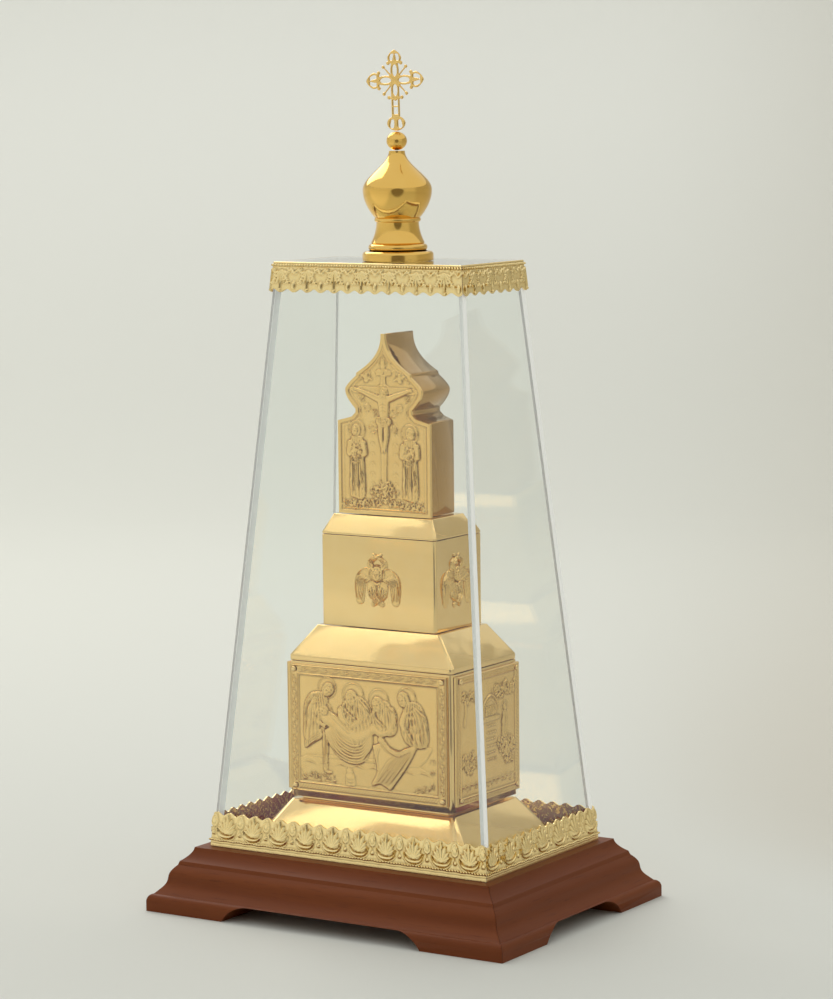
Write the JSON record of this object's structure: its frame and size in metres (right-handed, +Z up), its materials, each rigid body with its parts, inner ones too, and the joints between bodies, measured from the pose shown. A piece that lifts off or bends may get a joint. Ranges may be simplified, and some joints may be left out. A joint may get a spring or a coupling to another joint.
{
  "type": "altar tabernacle",
  "caption": "Gilded casket in stepped storeys with relief plates, under a tapering glass case with a cupola and pierced cross, on a moulded wooden base.",
  "frame": {"origin": "middle of the base on the floor", "axes": "+Z up, -Y to the front with the Entombment plate, +X to the front's right"},
  "size_m": [0.2438, 0.1838, 0.5],
  "materials": {
    "wood": "red-brown stained hardwood under satin lacquer",
    "glass": "clear float glass, polished edges",
    "stamped_brass": "stamped brass, bright gilt lacquer",
    "gilding": "polished gilding on brass"
  },
  "bodies": {
    "root": {"base_rail_front": "wood", "base_rail_right": "wood", "base_rail_back": "wood", "base_rail_left": "wood", "base_deck": "wood", "pane_front": "glass", "pane_back": "glass", "pane_left": "glass", "pane_right": "glass", "pane_top": "glass", "gallery_front": "stamped_brass", "gallery_right": "stamped_brass", "gallery_back": "stamped_brass", "gallery_left": "stamped_brass", "band_front": "stamped_brass", "band_right": "stamped_brass", "band_back": "stamped_brass", "band_left": "stamped_brass", "cupola": "gilding", "finial_ball": "gilding", "cross": "gilding", "tabernacle_foot": "gilding", "lower_chest": "gilding", "relief_plate_front": "gilding", "relief_plate_right": "gilding", "relief_plate_back": "gilding", "relief_plate_left": "gilding", "rivet_front_1": "gilding", "rivet_front_2": "gilding", "rivet_front_3": "gilding", "rivet_front_4": "gilding", "rivet_right_1": "gilding", "rivet_right_2": "gilding", "rivet_right_3": "gilding", "rivet_right_4": "gilding", "rivet_back_1": "gilding", "rivet_back_2": "gilding", "rivet_back_3": "gilding", "rivet_back_4": "gilding", "rivet_left_1": "gilding", "rivet_left_2": "gilding", "rivet_left_3": "gilding", "rivet_left_4": "gilding", "lower_roof": "gilding", "middle_chest": "gilding", "middle_roof": "gilding", "shrine_body": "gilding", "shrine_plate": "gilding"}
  },
  "joints": []
}
